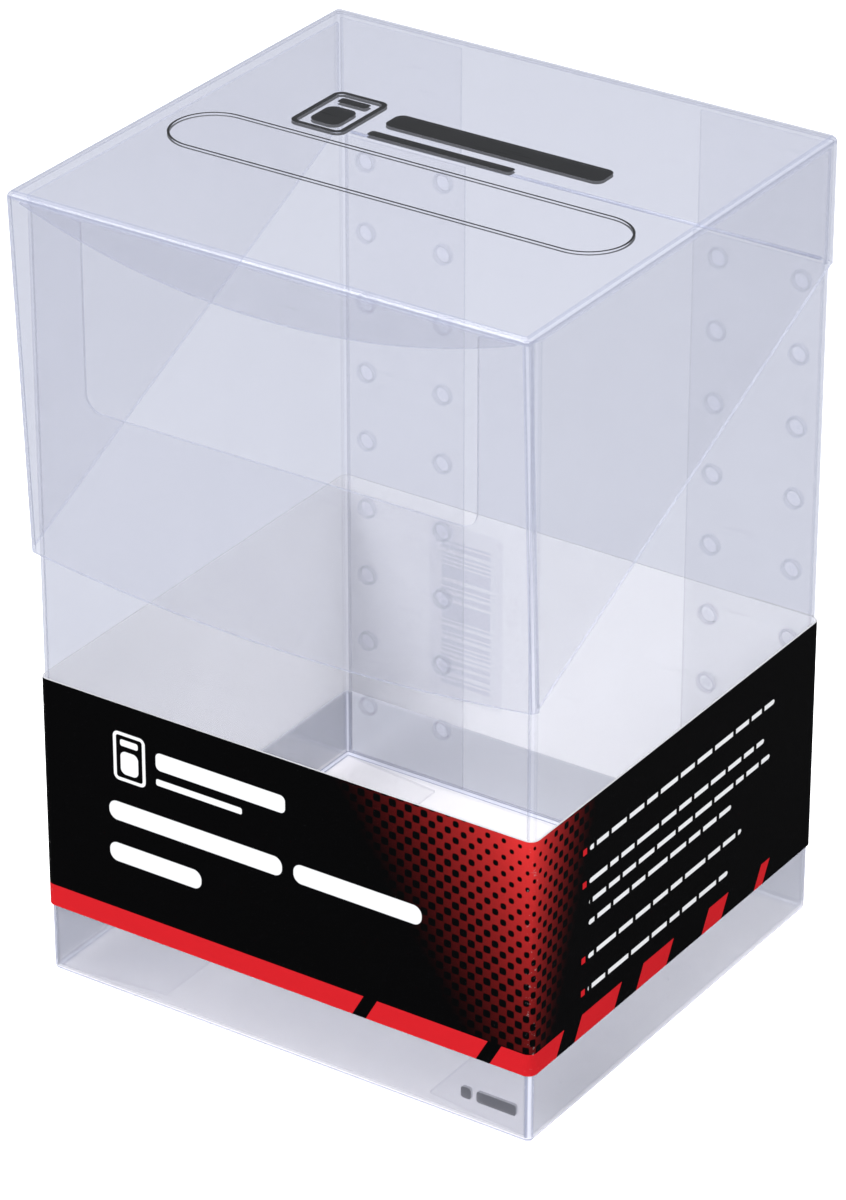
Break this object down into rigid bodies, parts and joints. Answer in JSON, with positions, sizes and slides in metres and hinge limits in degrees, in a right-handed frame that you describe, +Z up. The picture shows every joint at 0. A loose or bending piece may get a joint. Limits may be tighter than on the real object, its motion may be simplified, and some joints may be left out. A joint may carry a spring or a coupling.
{
  "type": "graded card storage box",
  "caption": "Clear flip-lid box that stores graded card slabs upright, folded from thin plastic sheet, with a finger cut-out, a living-hinge lid and a sliding printed card band.",
  "frame": {"origin": "centre of the underside of the box's floor", "axes": "+Z up towards the lid's top, +X to the right seen from the front, +Y towards the hinged rear panel"},
  "size_m": [0.0956, 0.0907, 0.142],
  "materials": {
    "clear_sheet": "clear polypropylene sheet with a faint blue tint, glossy",
    "printed_card": "black and red printed card with a satin coat, white inside"
  },
  "bodies": {
    "box": {"body_floor": "clear_sheet", "body_front_wall": "clear_sheet", "body_left_wall": "clear_sheet", "body_right_wall": "clear_sheet", "body_back_wall": "clear_sheet", "body_left_rear_flap": "clear_sheet", "body_right_rear_flap": "clear_sheet", "floor_left_dust_flap": "clear_sheet", "floor_right_dust_flap": "clear_sheet"},
    "lid": {"lid_top_panel": "clear_sheet", "lid_front_panel": "clear_sheet", "lid_left_side": "clear_sheet", "lid_right_side": "clear_sheet", "lid_rear_strip": "clear_sheet", "lid_left_rear_flap": "clear_sheet", "lid_right_rear_flap": "clear_sheet", "lid_front_turn_in": "clear_sheet"},
    "band": {"band_front_panel": "printed_card", "band_back_panel": "printed_card", "band_left_panel": "printed_card", "band_right_panel": "printed_card", "band_glue_lap": "printed_card"}
  },
  "joints": [
    {"name": "lid_hinge", "type": "hinge", "parent": "box", "child": "lid", "pos_m": [0, 0.043, 0.12], "axis": [-1, 0, 0], "range_deg": [0, 175]},
    {"name": "band_slide", "type": "slide", "parent": "box", "child": "band", "axis": [0, 0, 1], "range_m": [-0.0565, 0.0185]}
  ]
}
